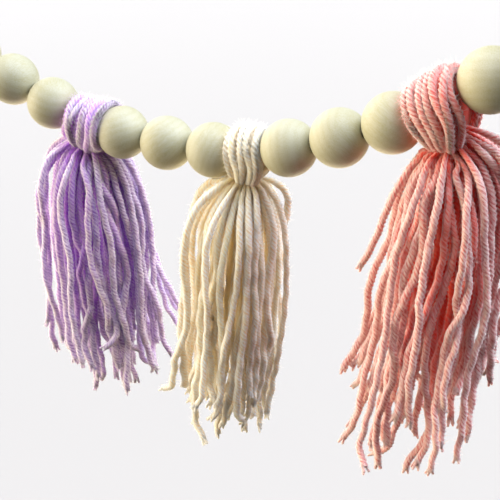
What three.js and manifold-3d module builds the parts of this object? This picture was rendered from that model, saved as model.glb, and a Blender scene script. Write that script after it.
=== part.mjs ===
// Tassel garland: twelve wooden beads and three yarn tassels on one string.
// Millimetres, +Z up, +X along the garland from left to right, +Y to its back.
// The origin is where a hook bears inside the left hanging loop.
// The garland hangs in one vertical plane, as its own weight draws it.
import * as THREE from 'three';
import { mergeVertices } from 'three/addons/utils/BufferGeometryUtils.js';
import Module from 'manifold-3d';

const wasm = await Module();
wasm.setup();

// Beads
const BEAD_DIAMETER = 19.9;
const BEAD_HOLE = 4.8;
const BEAD_PITCH = 19.9;
const BEAD_SIDES = 12;
const BEAD_ARC_STEPS = 8;

// String
const STRING_DIAMETER = 1.8;
const STRING_SIDES = 8;
const STRING_STEP = 5.4;

// How the garland hangs: each piece turns the string up by its weight over the string's level pull
const BEAD_WEIGHT = 2.7;
const TASSEL_WEIGHT = 5.62;
const LEVEL_PULL = 32.99;
const START_SLOPE = -0.5235;

// Hanging loops and their knots. LOOP_OUTLINE is one side of a loop from the hook's seat to the knot:
// along is a share of the loop's length, across a share of half its width.
const LOOP_LENGTH = 25;
const LOOP_WIDTH = 12;
const LOOP_STEPS = 18;
const LOOP_OUTLINE = [
  { along: 0.04, across: 0.68 },
  { along: 0.26, across: 1 },
  { along: 0.6, across: 0.82 },
  { along: 0.92, across: 0.174 },
  { along: 1.1, across: 0.1304 },
];
const KNOT_LENGTH = 6.4;
const KNOT_RADIUS = 3.1;
const KNOT_CORE_RADIUS = 2.4;
const KNOT_CORD = 1.9;
const KNOT_GAP = 0.35;
const WRAP_SPACING = 2.5;
const WRAP_TILT = 0.35;
const WRAP_TURN = 0.9;

// The cut tail of the string, from inside the knot to its end, in millimetres from the knot's start
const TAIL = [
  { along: 3, back: 0, down: 1.2 },
  { along: 2, back: 1.6, down: 3.2 },
  { along: -1.5, back: 3, down: 6 },
  { along: -4, back: 3.6, down: 10 },
];

// Yarn
const YARN_RADIUS = 1.2;
const ROOT_RADIUS = 0.55;
const ROOT_TAPER = 14;
const NECK_RADIUS = 3;
const NECK_FAN = 2.4;
const STRAND_STEPS = 6;
const STRAND_CROWDING = 1.35;
const STRAND_SIDES = 4;
const GOLDEN_TURN = Math.PI * (3 - Math.sqrt(5));
const ROOT_RISE = 0.6;
const FLARE_POWER = 0.9;
const WAVE_ONSET = 25;
const SWAY_POWER = 1.6;
const LOOK_AHEAD = 0.5;

// The least and the most that each property has from strand to strand: turn in radians, curl, wave
// and ripple as shares of the tassel's own, the other three in millimetres
const VARIETY = {
  turn: [-0.08, 0.08],
  curl: [0.94, 1.06],
  wave: [0.5, 1.5],
  waveLength: [42, 76],
  ripple: [0.4, 1.2],
  rippleLength: [36, 66],
  endBend: [-4.5, 4.5],
};

// The packed roots under a neck, as an outline turned round the tassel's own upright
const ROOTS_RISE = 1.4;
const ROOTS_SIDES = 10;
const ROOTS_OUTLINE = [
  { radius: 0, height: -6.8 },
  { radius: 3.4, height: -6.2 },
  { radius: 5.9, height: -4.6 },
  { radius: 7, height: -2.4 },
  { radius: 6.2, height: -0.4 },
  { radius: 3.9, height: 0.8 },
  { radius: 0, height: 1.2 },
];

// Tassel heads
const HEAD_RIDGES = 7;
const RIDGE_DEPTH = 0.55;
const HEAD_TURNS = 16;
const RIDGE_BOW = 0.18;
const WAIST_SHARE = 0.45;
const RIM_INSET = 1.1;
const BORE_RADIUS = 1.75;
const BEAD_CLEARANCE = 0.5;

// One row for each tassel. spacing runs from bead centre to bead centre across it. The head's depth,
// top and neck drop are taken from the string, and neckShift is the neck's place along the garland.
// flare is how level the outermost strands start, curl the length over which they turn down, and
// tuck how much less they flare on the side at sideAzimuth. rest and sway move the strands aside.
const TASSELS = [
  {
    name: 'tassel_lavender', colour: 0xb295c8, spacing: 32.92,
    halfWidth: 7.4, depth: 9.0, top: 8.7, neckDrop: 13.4, neckShift: -0.9,
    strands: 44, flare: 0.97, curl: 18.6, spread: 0.06, sideSpread: 0.03, sideAzimuth: 0.3,
    tuck: 0, restX: -2.5, restY: 0, swayX: 1, swayY: 0,
    length: 115, trim: 17, wave: 1.35, seed: 19, strays: [],
  },
  {
    name: 'tassel_cream', colour: 0xdcc6a4, spacing: 30.95,
    halfWidth: 6.6, depth: 8.2, top: 9.6, neckDrop: 13.9, neckShift: -1.2,
    strands: 44, flare: 0.95, curl: 17.6, spread: 0.04, sideSpread: 0.03, sideAzimuth: 3.3,
    tuck: 0, restX: -5, restY: -2, swayX: -6, swayY: -2,
    length: 119, trim: 18, wave: 1.0, seed: 27, strays: [],
  },
  {
    name: 'tassel_pink', colour: 0xc9776b, spacing: 34.72,
    halfWidth: 8.6, depth: 10.5, top: 10.4, neckDrop: 15.6, neckShift: 3.8,
    strands: 44, flare: 0.985, curl: 18.6, spread: 0.06, sideSpread: 0.03, sideAzimuth: 3.6,
    tuck: 0.22, restX: 4, restY: 1, swayX: -7, swayY: -3,
    length: 123, trim: 18, wave: 1.35, seed: 28,
    strays: [{ strand: 33, azimuth: 3.72, flare: 0.84, curl: 22, spread: 0.01, length: 54 }],
  },
];

const garland = new THREE.Group();

// Closed solid from a three.js geometry: shared corners are merged so that only positions are left
function solidOf(geometry) {
  const bare = geometry.clone();
  bare.deleteAttribute('normal');
  bare.deleteAttribute('uv');
  const merged = mergeVertices(bare, 1e-4);
  const mesh = new wasm.Mesh({
    numProp: 3,
    vertProperties: new Float32Array(merged.attributes.position.array),
    triVerts: new Uint32Array(merged.index.array),
  });
  return new wasm.Manifold(mesh);
}

function geometryOf(solid) {
  const mesh = solid.getMesh();
  const geometry = new THREE.BufferGeometry();
  geometry.setAttribute('position', new THREE.BufferAttribute(mesh.vertProperties, 3));
  geometry.setIndex(new THREE.BufferAttribute(mesh.triVerts, 1));
  geometry.computeVertexNormals();
  return geometry;
}

function finish(colour, roughness) {
  return new THREE.MeshStandardMaterial({ color: colour, roughness, metalness: 0 });
}

function addPiece(name, geometry, material, place, tilt = 0) {
  const mesh = new THREE.Mesh(geometry, material);
  mesh.name = name;
  mesh.position.set(place.x, 0, place.z);
  mesh.rotation.y = -tilt;
  garland.add(mesh);
}

// The hanging line: where every bead and tassel sits, and how the string is tilted there
function hangingLine() {
  const order = ['bead', 'bead', 'bead'];
  TASSELS.forEach((tassel) => order.push(tassel, 'bead', 'bead', 'bead'));
  const firstSpan = LOOP_LENGTH + KNOT_LENGTH + KNOT_GAP + beadHalfLength();
  const point = new THREE.Vector2(0, 0);
  let slope = START_SLOPE;
  let span = firstSpan;
  const stations = [];
  order.forEach((kind, i) => {
    point.add(new THREE.Vector2(1, slope).setLength(span));
    const turn = (kind === 'bead' ? BEAD_WEIGHT : TASSEL_WEIGHT) / LEVEL_PULL;
    const tilt = (Math.atan(slope) + Math.atan(slope + turn)) / 2;
    stations.push({ kind, x: point.x, z: point.y, tilt });
    slope += turn;
    const next = order[i + 1];
    span = BEAD_PITCH;
    if (kind !== 'bead') span = kind.spacing / 2;
    if (next && next !== 'bead') span = next.spacing / 2;
  });
  const end = point.clone().add(new THREE.Vector2(1, slope).setLength(firstSpan));
  return { stations, endPoint: end, endTilt: Math.atan(slope) };
}

// Half the length of a bead along its hole, rim to rim
function beadHalfLength() {
  return Math.sqrt(BEAD_DIAMETER ** 2 - BEAD_HOLE ** 2) / 2;
}

// A ball turned round its hole, which runs along X
function beadGeometry() {
  const radius = BEAD_DIAMETER / 2;
  const rimAngle = Math.asin(BEAD_HOLE / BEAD_DIAMETER);
  const profile = [];
  for (let i = 0; i <= BEAD_ARC_STEPS; i++) {
    const angle = -Math.PI / 2 + rimAngle + (Math.PI - 2 * rimAngle) * (i / BEAD_ARC_STEPS);
    profile.push(new THREE.Vector2(radius * Math.cos(angle), radius * Math.sin(angle)));
  }
  profile.push(profile[0].clone());
  return new THREE.LatheGeometry(profile, BEAD_SIDES).rotateZ(-Math.PI / 2);
}

// A repeatable number from low to high for strand i and property k
function chance(seed, i, k, [low, high] = [0, 1]) {
  const value = Math.sin(seed * 17.13 + i * 12.9898 + k * 78.233) * 43758.5453;
  return low + (high - low) * (value - Math.floor(value));
}

function smoothstep(low, high, value) {
  const t = Math.min(Math.max((value - low) / (high - low), 0), 1);
  return t * t * (3 - 2 * t);
}

// Where strand i starts, how far it flares and how it waves; a stray has some values of its own
function strandOf(tassel, i) {
  const { seed } = tassel;
  const rank = Math.sqrt((i + 0.5) / tassel.strands);
  const azimuth = i * GOLDEN_TURN + chance(seed, i, 1, VARIETY.turn);
  const side = Math.cos(azimuth - tassel.sideAzimuth);
  const strand = {
    rank,
    azimuth,
    flare: tassel.flare * rank ** FLARE_POWER * (1 - tassel.tuck * (1 + side) / 2),
    curl: tassel.curl * chance(seed, i, 2, VARIETY.curl),
    spread: rank * (tassel.spread + tassel.sideSpread * side),
    length: tassel.length - tassel.trim * chance(seed, i, 3),
    wave: tassel.wave * chance(seed, i, 4, VARIETY.wave),
    waveLength: chance(seed, i, 5, VARIETY.waveLength),
    phase: 2 * Math.PI * chance(seed, i, 6),
    ripple: tassel.wave * chance(seed, i, 7, VARIETY.ripple),
    rippleLength: chance(seed, i, 8, VARIETY.rippleLength),
    ripplePhase: 2 * Math.PI * chance(seed, i, 9),
    endBend: chance(seed, i, 10, VARIETY.endBend),
  };
  return Object.assign(strand, tassel.strays.find((stray) => stray.strand === i));
}

// A strand leaves the neck outwards, turns down under its weight and hangs in loose waves
function strandPoint(tassel, strand, s) {
  const fade = Math.tanh(s / strand.curl);
  const lift = 1 - Math.sqrt(1 - strand.flare ** 2);
  const ramp = s / (s + WAVE_ONSET);
  const along = s / strand.length;
  const rest = Math.tanh(s / WAVE_ONSET);
  const sway = along ** SWAY_POWER;
  const out = NECK_RADIUS * strand.rank + strand.flare * strand.curl * fade + strand.spread * s
    + strand.ripple * ramp * Math.sin(2 * Math.PI * s / strand.rippleLength + strand.ripplePhase);
  const aside = strand.wave * ramp * Math.sin(2 * Math.PI * s / strand.waveLength + strand.phase)
    + strand.endBend * along ** 3;
  const cos = Math.cos(strand.azimuth);
  const sin = Math.sin(strand.azimuth);
  return new THREE.Vector3(
    tassel.neckShift + out * cos - aside * sin + tassel.restX * rest + tassel.swayX * sway,
    out * sin + aside * cos + tassel.restY * rest + tassel.swayY * sway,
    -tassel.neckDrop + ROOT_RISE + NECK_FAN * strand.rank - s + lift * strand.curl * fade,
  );
}

// A capped cylinder bent along the strand, thin where the neck squeezes the yarn
function strandGeometry(tassel, strand) {
  const geometry = new THREE.CylinderGeometry(1, 1, 1, STRAND_SIDES, STRAND_STEPS, false);
  const place = geometry.attributes.position;
  const across = new THREE.Vector3(-Math.sin(strand.azimuth), Math.cos(strand.azimuth), 0);
  for (let v = 0; v < place.count; v++) {
    const level = 0.5 - place.getY(v);
    const s = strand.length * level ** STRAND_CROWDING;
    const here = strandPoint(tassel, strand, s);
    const ahead = strandPoint(tassel, strand, s + LOOK_AHEAD).sub(here).normalize();
    const outward = new THREE.Vector3().crossVectors(ahead, across).normalize();
    const sideways = new THREE.Vector3().crossVectors(outward, ahead);
    const radius = ROOT_RADIUS + (YARN_RADIUS - ROOT_RADIUS) * smoothstep(0, ROOT_TAPER, s);
    here.addScaledVector(outward, -radius * place.getX(v));
    here.addScaledVector(sideways, radius * place.getZ(v));
    place.setXYZ(v, here.x, here.y, here.z);
  }
  return geometry;
}

// The packed roots just under the neck, where the strands are too close to stand apart
function rootsGeometry(tassel) {
  const outline = ROOTS_OUTLINE.map((row) => new THREE.Vector2(row.radius, row.height));
  const geometry = new THREE.LatheGeometry(outline, ROOTS_SIDES).rotateX(Math.PI / 2);
  return geometry.translate(tassel.neckShift, 0, -tassel.neckDrop + ROOTS_RISE);
}

// The head's reach from the string at an angle from straight up: round above, drawn out to the neck
function headReach(tassel, angle) {
  const turned = Math.abs(Math.atan2(Math.sin(angle), Math.cos(angle)));
  const round = THREE.MathUtils.lerp(tassel.top, tassel.depth, smoothstep(0, Math.PI / 2, turned));
  return THREE.MathUtils.lerp(round, tassel.neckDrop, smoothstep(Math.PI / 2, Math.PI, turned));
}

// The yarn folded over the string: a pear with a ridge for each strand of its outer layer.
// It is turned round the string's own line, with a bore, and pressed in by the beads beside it.
function headGeometry(tassel, tilt, neighbours) {
  const crown = 2 * HEAD_RIDGES;
  const waist = WAIST_SHARE * tassel.depth;
  const rimWidth = tassel.halfWidth - RIM_INSET;
  const lean = Math.atan2(tassel.neckShift, tassel.neckDrop);
  const columns = [{ rim: -1 }];
  for (let i = 0; i <= crown; i++) columns.push({ across: 2 * i / crown - 1 });
  columns.push({ rim: 1 }, { rim: -1 });
  const outline = columns.map((column, i) => new THREE.Vector2(1 + i, i));
  const geometry = new THREE.LatheGeometry(outline, HEAD_TURNS);
  const place = geometry.attributes.position;
  for (let v = 0; v < place.count; v++) {
    const column = columns[v % columns.length];
    const angle = -2 * Math.PI * Math.floor(v / columns.length) / HEAD_TURNS;
    let x = column.rim * rimWidth;
    let reach = BORE_RADIUS;
    if (column.rim === undefined) {
      const bow = Math.PI / 2 * column.across - RIDGE_BOW * Math.sin(Math.PI * column.across);
      const groove = RIDGE_DEPTH * Math.cos(Math.PI / 2 * HEAD_RIDGES * (column.across + 1)) ** 2;
      x = tassel.halfWidth * Math.sin(bow);
      reach = waist + (headReach(tassel, angle) - waist - groove) * Math.cos(bow);
    }
    const point = new THREE.Vector3(x, reach * Math.sin(angle), reach * Math.cos(angle));
    const sunk = smoothstep(0, tassel.neckDrop, -point.z);
    point.applyAxisAngle(new THREE.Vector3(0, 1, 0), -THREE.MathUtils.lerp(tilt, lean, sunk));
    neighbours.forEach((bead) => pressIn(point, bead));
    place.setXYZ(v, point.x, point.y, point.z);
  }
  return geometry;
}

// Moves a point that would lie in or on a bead out of it, along the line from the bead's middle
function pressIn(point, bead) {
  const reach = BEAD_DIAMETER / 2 + BEAD_CLEARANCE;
  const away = point.clone().sub(bead);
  if (away.length() < reach) point.copy(bead).add(away.setLength(reach));
}

function tasselGeometry(tassel, tilt, neighbours) {
  let solid = solidOf(headGeometry(tassel, tilt, neighbours)).add(solidOf(rootsGeometry(tassel)));
  for (let i = 0; i < tassel.strands; i++) {
    solid = solid.add(solidOf(strandGeometry(tassel, strandOf(tassel, i))));
  }
  return geometryOf(solid);
}

function cordSection(diameter, sides) {
  const section = new THREE.Shape();
  for (let i = 0; i < sides; i++) {
    const angle = 2 * Math.PI * i / sides;
    const x = diameter / 2 * Math.cos(angle);
    const y = diameter / 2 * Math.sin(angle);
    if (i === 0) section.moveTo(x, y);
    else section.lineTo(x, y);
  }
  return section;
}

function cordGeometry(path, diameter, sides, steps) {
  const section = cordSection(diameter, sides);
  return new THREE.ExtrudeGeometry(section, { steps, bevelEnabled: false, extrudePath: path });
}

// A loop of the string and its overhand knot, with the string's cut tail.
// X runs from the hook's seat to the beads; the loop lies in the garland's plane.
function loopGeometry() {
  const halfWidth = (LOOP_WIDTH + STRING_DIAMETER) / 2;
  const seat = new THREE.Vector3(-STRING_DIAMETER / 2, 0, 0);
  const side = (turn) => LOOP_OUTLINE.map(
    (row) => new THREE.Vector3(LOOP_LENGTH * row.along, 0, turn * halfWidth * row.across),
  );
  const loopPath = new THREE.CatmullRomCurve3([...side(1).reverse(), seat, ...side(-1)]);
  const tailPath = new THREE.CatmullRomCurve3(
    TAIL.map((row) => new THREE.Vector3(LOOP_LENGTH + row.along, row.back, -row.down)),
  );
  const core = new THREE.SphereGeometry(1, 8, 5);
  core.scale(KNOT_LENGTH / 2, KNOT_CORE_RADIUS, KNOT_CORE_RADIUS);
  core.translate(LOOP_LENGTH + KNOT_LENGTH / 2, 0, 0);
  let solid = solidOf(cordGeometry(loopPath, STRING_DIAMETER, STRING_SIDES, LOOP_STEPS));
  solid = solid.add(solidOf(core));
  [-1, 1].forEach((turn) => {
    const wrap = new THREE.TorusGeometry(KNOT_RADIUS - KNOT_CORD / 2, KNOT_CORD / 2, 5, 9);
    wrap.rotateY(Math.PI / 2 + WRAP_TILT);
    wrap.rotateX(turn * WRAP_TURN);
    wrap.translate(LOOP_LENGTH + (KNOT_LENGTH + turn * WRAP_SPACING) / 2, 0, 0);
    solid = solid.add(solidOf(wrap));
  });
  solid = solid.add(solidOf(cordGeometry(tailPath, STRING_DIAMETER, STRING_SIDES, TAIL.length)));
  return geometryOf(solid);
}

const { stations, endPoint, endTilt } = hangingLine();

// Beads
const wood = finish(0xddd9bd, 0.75);
const beads = stations.filter((station) => station.kind === 'bead');
beads.forEach((bead, i) => {
  const name = `bead_${String(i + 1).padStart(2, '0')}`;
  addPiece(name, beadGeometry(), wood, bead, bead.tilt);
});

// Tassels
stations.forEach((station, i) => {
  if (station.kind === 'bead') return;
  const neighbours = [stations[i - 1], stations[i + 1]].map(
    (bead) => new THREE.Vector3(bead.x - station.x, 0, bead.z - station.z),
  );
  const geometry = tasselGeometry(station.kind, station.tilt, neighbours);
  addPiece(station.kind.name, geometry, finish(station.kind.colour, 0.95), station);
});

// String, knot to knot through every bead and tassel
const cotton = finish(0xeae4d2, 0.9);
const startTilt = Math.atan(START_SLOPE);
const knotEnd = LOOP_LENGTH + KNOT_LENGTH + KNOT_GAP;
const stringPoints = [
  new THREE.Vector3(knotEnd * Math.cos(startTilt), 0, knotEnd * Math.sin(startTilt)),
  ...stations.map((station) => new THREE.Vector3(station.x, 0, station.z)),
  new THREE.Vector3(endPoint.x - knotEnd * Math.cos(endTilt), 0, endPoint.y - knotEnd * Math.sin(endTilt)),
];
const stringPath = new THREE.CatmullRomCurve3(stringPoints);
const stringSteps = Math.round(stringPath.getLength() / STRING_STEP);
const stringGeometry = cordGeometry(stringPath, STRING_DIAMETER, STRING_SIDES, stringSteps);
addPiece('string', stringGeometry, cotton, { x: 0, z: 0 });

// Hanging loops
addPiece('end_loop_left', loopGeometry(), cotton, { x: 0, z: 0 }, startTilt);
const rightLoop = loopGeometry().rotateZ(Math.PI);
addPiece('end_loop_right', rightLoop, cotton, { x: endPoint.x, z: endPoint.y }, endTilt);

export default garland;
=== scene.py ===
# %% [markdown]
# # A tassel garland of wooden beads and looped yarn
#
# The real garland is twelve bare wooden beads and three tassels on one cotton string. Each tassel is
# a hank of bulky yarn folded over the string and drawn in under it, so that the folded yarn makes a
# round head and the cut ends hang as a skirt. This lesson dresses the garland's plain solids with
# turned wood, twisted yarn and stray fibres. It works in millimetres and turns them to metres where
# a mesh is made.

# %% Load the frame
import math
from functools import partial
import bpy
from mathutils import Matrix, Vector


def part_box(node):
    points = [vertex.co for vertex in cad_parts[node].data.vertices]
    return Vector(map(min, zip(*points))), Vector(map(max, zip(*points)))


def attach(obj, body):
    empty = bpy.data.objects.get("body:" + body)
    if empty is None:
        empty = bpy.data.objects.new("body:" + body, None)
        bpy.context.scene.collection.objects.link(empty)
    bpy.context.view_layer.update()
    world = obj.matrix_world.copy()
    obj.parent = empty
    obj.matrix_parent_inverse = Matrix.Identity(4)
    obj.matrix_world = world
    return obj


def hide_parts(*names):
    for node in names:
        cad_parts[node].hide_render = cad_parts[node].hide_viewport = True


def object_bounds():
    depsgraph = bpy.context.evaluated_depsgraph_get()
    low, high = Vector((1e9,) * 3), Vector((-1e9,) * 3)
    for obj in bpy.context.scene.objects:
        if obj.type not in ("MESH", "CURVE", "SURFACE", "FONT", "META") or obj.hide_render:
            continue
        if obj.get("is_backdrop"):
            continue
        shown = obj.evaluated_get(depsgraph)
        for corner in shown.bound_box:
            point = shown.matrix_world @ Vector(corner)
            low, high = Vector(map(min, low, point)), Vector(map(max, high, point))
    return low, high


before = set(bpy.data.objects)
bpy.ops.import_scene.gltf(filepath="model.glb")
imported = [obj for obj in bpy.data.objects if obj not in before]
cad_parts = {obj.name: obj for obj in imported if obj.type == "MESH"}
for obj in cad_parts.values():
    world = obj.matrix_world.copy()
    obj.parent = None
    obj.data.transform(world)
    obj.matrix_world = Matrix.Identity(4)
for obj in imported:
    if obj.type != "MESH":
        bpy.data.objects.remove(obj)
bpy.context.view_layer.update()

from types import SimpleNamespace

import bpy
from mathutils import Matrix, Vector
from mathutils.kdtree import KDTree

# %% [markdown]
# ## The camera
#
# A camera is found from things of known size. The beads are all alike and hang in one upright plane,
# so their nine places in the picture give the camera's place, its turn and its lens. It stands in
# front of the garland's right end, looks down at 30 degrees and is rolled a little.

# %% Camera
MM = 0.001
CAMERA_PLACE = Vector((307.15, -259.9, 95.45)) * MM
CAMERA_AZIMUTH = math.radians(29.579)
CAMERA_ELEVATION = math.radians(30.0)
CAMERA_ROLL = math.radians(-1.2856)
CAMERA_LENS = 67.03
SENSOR_WIDTH = 36.0
TO_CAMERA = Vector((math.sin(CAMERA_AZIMUTH), -math.cos(CAMERA_AZIMUTH), 0))
TO_RIGHT = Vector((math.cos(CAMERA_AZIMUTH), math.sin(CAMERA_AZIMUTH), 0))


def add_object(name, data):
    """A new object in the scene, at the origin."""
    made = bpy.data.objects.new(name, data)
    bpy.context.scene.collection.objects.link(made)
    return made


def make_camera():
    data = bpy.data.cameras.new("camera")
    data.lens = CAMERA_LENS
    data.sensor_width = SENSOR_WIDTH
    data.clip_start = 10 * MM
    camera = add_object("camera", data)
    back = TO_CAMERA * math.cos(CAMERA_ELEVATION) + Vector((0, 0, math.sin(CAMERA_ELEVATION)))
    turn = back.to_track_quat("Z", "Y").to_matrix() @ Matrix.Rotation(CAMERA_ROLL, 3, "Z")
    camera.matrix_world = Matrix.Translation(CAMERA_PLACE) @ turn.to_4x4()
    bpy.context.scene.camera = camera
    return camera


camera = make_camera()
print("camera at", [round(v, 3) for v in camera.location], "lens", camera.data.lens)

# %% [markdown]
# ## Three tassels
#
# No two tassels are tied alike, so each has its own row of sizes: its room on the string, its head's
# form, its neck, how its strands flare, how far its skirt hangs to a side, and how uneven its ends
# are. Strands that stand out from the rest have a row under strays. Azimuths are seen from above:
# 0.5 is right in the picture and 3.7 is left.

# %% Sizes of the tassels
TASSELS = [
    SimpleNamespace(
        name="lavender", spacing=32.92, half_width=9.6, head_shift=3.4, depth=9.2, top=9.8,
        neck_drop=12.0, neck_shift=-1.5, flare=0.97, curl=17.4, tuck=0.0,
        spread=0.045, side_spread=0.0, side_azimuth=0.3, shoulder=3.5, shoulder_azimuth=3.3,
        rest=(-1.0, 0.0), sway=(1.0, 0.0), sway_power=1.6,
        length=114.0, trim=24.0, fillers=24, wave=1.35, seed=19,
        strays={
            47: dict(azimuth=0.5, rank=1.0, flare=0.93, spread=0.03, length=103.0, kick=12.0),
            52: dict(azimuth=0.9, rank=1.0, flare=0.93, spread=0.03, length=97.0, kick=11.0),
            57: dict(azimuth=0.2, rank=1.0, flare=0.9, spread=0.03, length=105.0, kick=8.0),
            61: dict(azimuth=0.7, rank=1.0, flare=0.9, spread=0.02, length=108.0, kick=15.0),
        },
    ),
    SimpleNamespace(
        name="cream", spacing=30.95, half_width=7.4, head_shift=0.2, depth=8.4, top=10.3,
        neck_drop=12.4, neck_shift=-2.4, flare=0.86, curl=18.6, tuck=-0.12,
        spread=0.0, side_spread=0.0, side_azimuth=3.3, shoulder=1.0, shoulder_azimuth=3.6,
        rest=(-4.0, -2.0), sway=(-6.5, -2.6), sway_power=2.6,
        length=121.0, trim=29.0, fillers=8, wave=1.2, seed=27,
        strays={
            50: dict(
                azimuth=0.5, rank=1.0, flare=0.99, curl=27.0, spread=-0.02, length=38.0, rise=-1.0,
                hook=0.0,
            ),
        },
    ),
    SimpleNamespace(
        name="pink", spacing=34.72, half_width=9.0, head_shift=0.0, depth=11.0, top=11.4,
        neck_drop=14.9, neck_shift=3.8, flare=0.985, curl=18.6, tuck=0.22,
        spread=0.06, side_spread=0.03, side_azimuth=3.6, shoulder=7.0, shoulder_azimuth=0.6,
        rest=(4.0, 1.0), sway=(-7.0, -3.0), sway_power=1.6,
        length=122.0, trim=32.0, fillers=24, wave=1.35, seed=28,
        strays={33: dict(azimuth=3.72, flare=0.84, curl=22.0, spread=0.01, length=54.0, end_bend=-6.0)},
    ),
]
print("tassels:", ", ".join(tassel.name for tassel in TASSELS))

# %% [markdown]
# ## The hanging line
#
# A string with weights on it hangs in straight runs. Every piece turns the string up by its weight
# over the string's level pull, which is the same all along. One loop therefore places all beads and
# tassels, and the beads' boxes in the frame tell whether it does so rightly. Weights are in grams.

# %% Where the beads and tassels hang
BEAD_DIAMETER = 19.9
BEAD_HOLE = 4.8
BEAD_PITCH = 19.9
BEAD_WEIGHT = 2.7
TASSEL_WEIGHT = 5.62
LEVEL_PULL = 32.99
START_SLOPE = -0.5235
LOOP_LENGTH = 25.0
KNOT_LENGTH = 6.4
KNOT_GAP = 0.35
KNOT_END = LOOP_LENGTH + KNOT_LENGTH + KNOT_GAP


def hanging_line():
    """The stations of beads and tassels as (piece, place, tilt), then the right loop's place and tilt."""
    first_span = KNOT_END + math.sqrt(BEAD_DIAMETER**2 - BEAD_HOLE**2) / 2
    order = ["bead"] * 3
    for tassel in TASSELS:
        order += [tassel] + ["bead"] * 3
    place = Vector((0, 0, 0))
    slope = START_SLOPE
    span = first_span
    stations = []
    for piece, following in zip(order, [*order[1:], "bead"]):
        place = place + Vector((1, 0, slope)).normalized() * span
        turn = (BEAD_WEIGHT if piece == "bead" else TASSEL_WEIGHT) / LEVEL_PULL
        tilt = (math.atan(slope) + math.atan(slope + turn)) / 2
        stations.append((piece, place, tilt))
        slope += turn
        span = next((tied.spacing / 2 for tied in (piece, following) if tied != "bead"), BEAD_PITCH)
    end = place + Vector((1, 0, slope)).normalized() * first_span
    return stations, end, math.atan(slope)


stations, end_place, end_tilt = hanging_line()
bead_stations = [(place, tilt) for piece, place, tilt in stations if piece == "bead"]
for number, (place, tilt) in enumerate(bead_stations, 1):
    low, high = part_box(f"bead_{number:02d}")
    off = ((low + high) / 2 / MM - place).length
    print(f"bead {number:02d} at {place.x:.1f}, {place.z:.1f} mm, {off:.3f} mm from its solid")

# %% [markdown]
# ## Small helpers
#
# Materials and node trees are long lists of nodes, so one helper adds a node, sets it up and links
# it in one call. Another turns a web colour, which is written in sRGB, to the linear numbers that
# light is worked out with. Others make a material, hang a finished piece in place of a plain solid,
# and blend two numbers.

# %% Helpers
def add_node(tree, kind, inputs=None, **settings):
    """Adds a node. inputs maps an input to a value, an output, or a node, meaning its first output."""
    node = tree.nodes.new(kind)
    for name, value in settings.items():
        setattr(node, name, value)
    for key, value in (inputs or {}).items():
        if isinstance(value, bpy.types.Node):
            value = value.outputs[0]
        if isinstance(value, bpy.types.NodeSocket):
            tree.links.new(value, node.inputs[key])
        else:
            node.inputs[key].default_value = value
    return node


def linear(hex_colour):
    """An sRGB colour such as 'c9a27b' as linear red, green, blue and alpha."""
    channels = [int(hex_colour[i:i + 2], 16) / 255 for i in (0, 2, 4)]
    return [c / 12.92 if c <= 0.04045 else ((c + 0.055) / 1.055) ** 2.4 for c in channels] + [1.0]


def make_material(name, look, **colours):
    """A material. The function look adds its nodes and gives the inputs of its surface."""
    made = bpy.data.materials.new(name)
    made.use_nodes = True
    made.node_tree.nodes.clear()
    add = partial(add_node, made.node_tree)
    surface = add("ShaderNodeBsdfPrincipled", look(add, **colours))
    add("ShaderNodeOutputMaterial", {"Surface": surface})
    return made


def stand_for(piece, node):
    """A finished piece hangs on the garland, in place of a plain solid."""
    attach(piece, "root")
    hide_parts(node)


def smoothstep(low, high, value):
    t = min(max((value - low) / (high - low), 0.0), 1.0)
    return t * t * (3 - 2 * t)


def mix(low, high, share):
    return low + (high - low) * share


print("helpers ready")

# %% [markdown]
# ## What yarn looks like
#
# The tassels are a soft bulky acrylic yarn of four plies, with a cloud of loose fibres on it. Its
# colour holds painted light: a painted highlight makes the crest of each ply pale and chalky, and
# painted shade makes the grooves and the strands deep in the tassel dark and full of colour. A painted
# image would have to be unwrapped over every strand. Here the mesh carries what is needed as
# attributes, and the pattern follows every bend: crest is 1 on a ply's ridge, depth is 1 on the
# outermost strands and low where painted shade falls, and tone differs from strand to strand.

# %% Yarn material
# Per yarn: painted deep shade, painted shade in the grooves and a painted highlight on the crests
YARN_COLOURS = {
    "lavender": dict(inner="c468f6", groove="b08ccc", crest="f2e2fe"),
    "cream": dict(inner="ffe8b8", groove="f4dcb8", crest="fffef8"),
    "pink": dict(inner="ff4628", groove="cc7674", crest="f2ccc8"),
}
# Real fibres are 0.03 mm wide, too fine to show, so they are drawn as coarser streaks
FIBRE_WIDTH = 0.42
FIBRE_LENGTH = 1.6
FIBRE_RELIEF = 0.25
FIBRE_CONTRAST = 6.0
GROOVE_TO_CREST = (2.7, 4.0)
TONE_SHIFT = 0.3
CREST_SHIFT = 0.12
INNER_TO_OUTER = (0.3, 0.95)
LIGHT_REACH = 2.0


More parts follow.
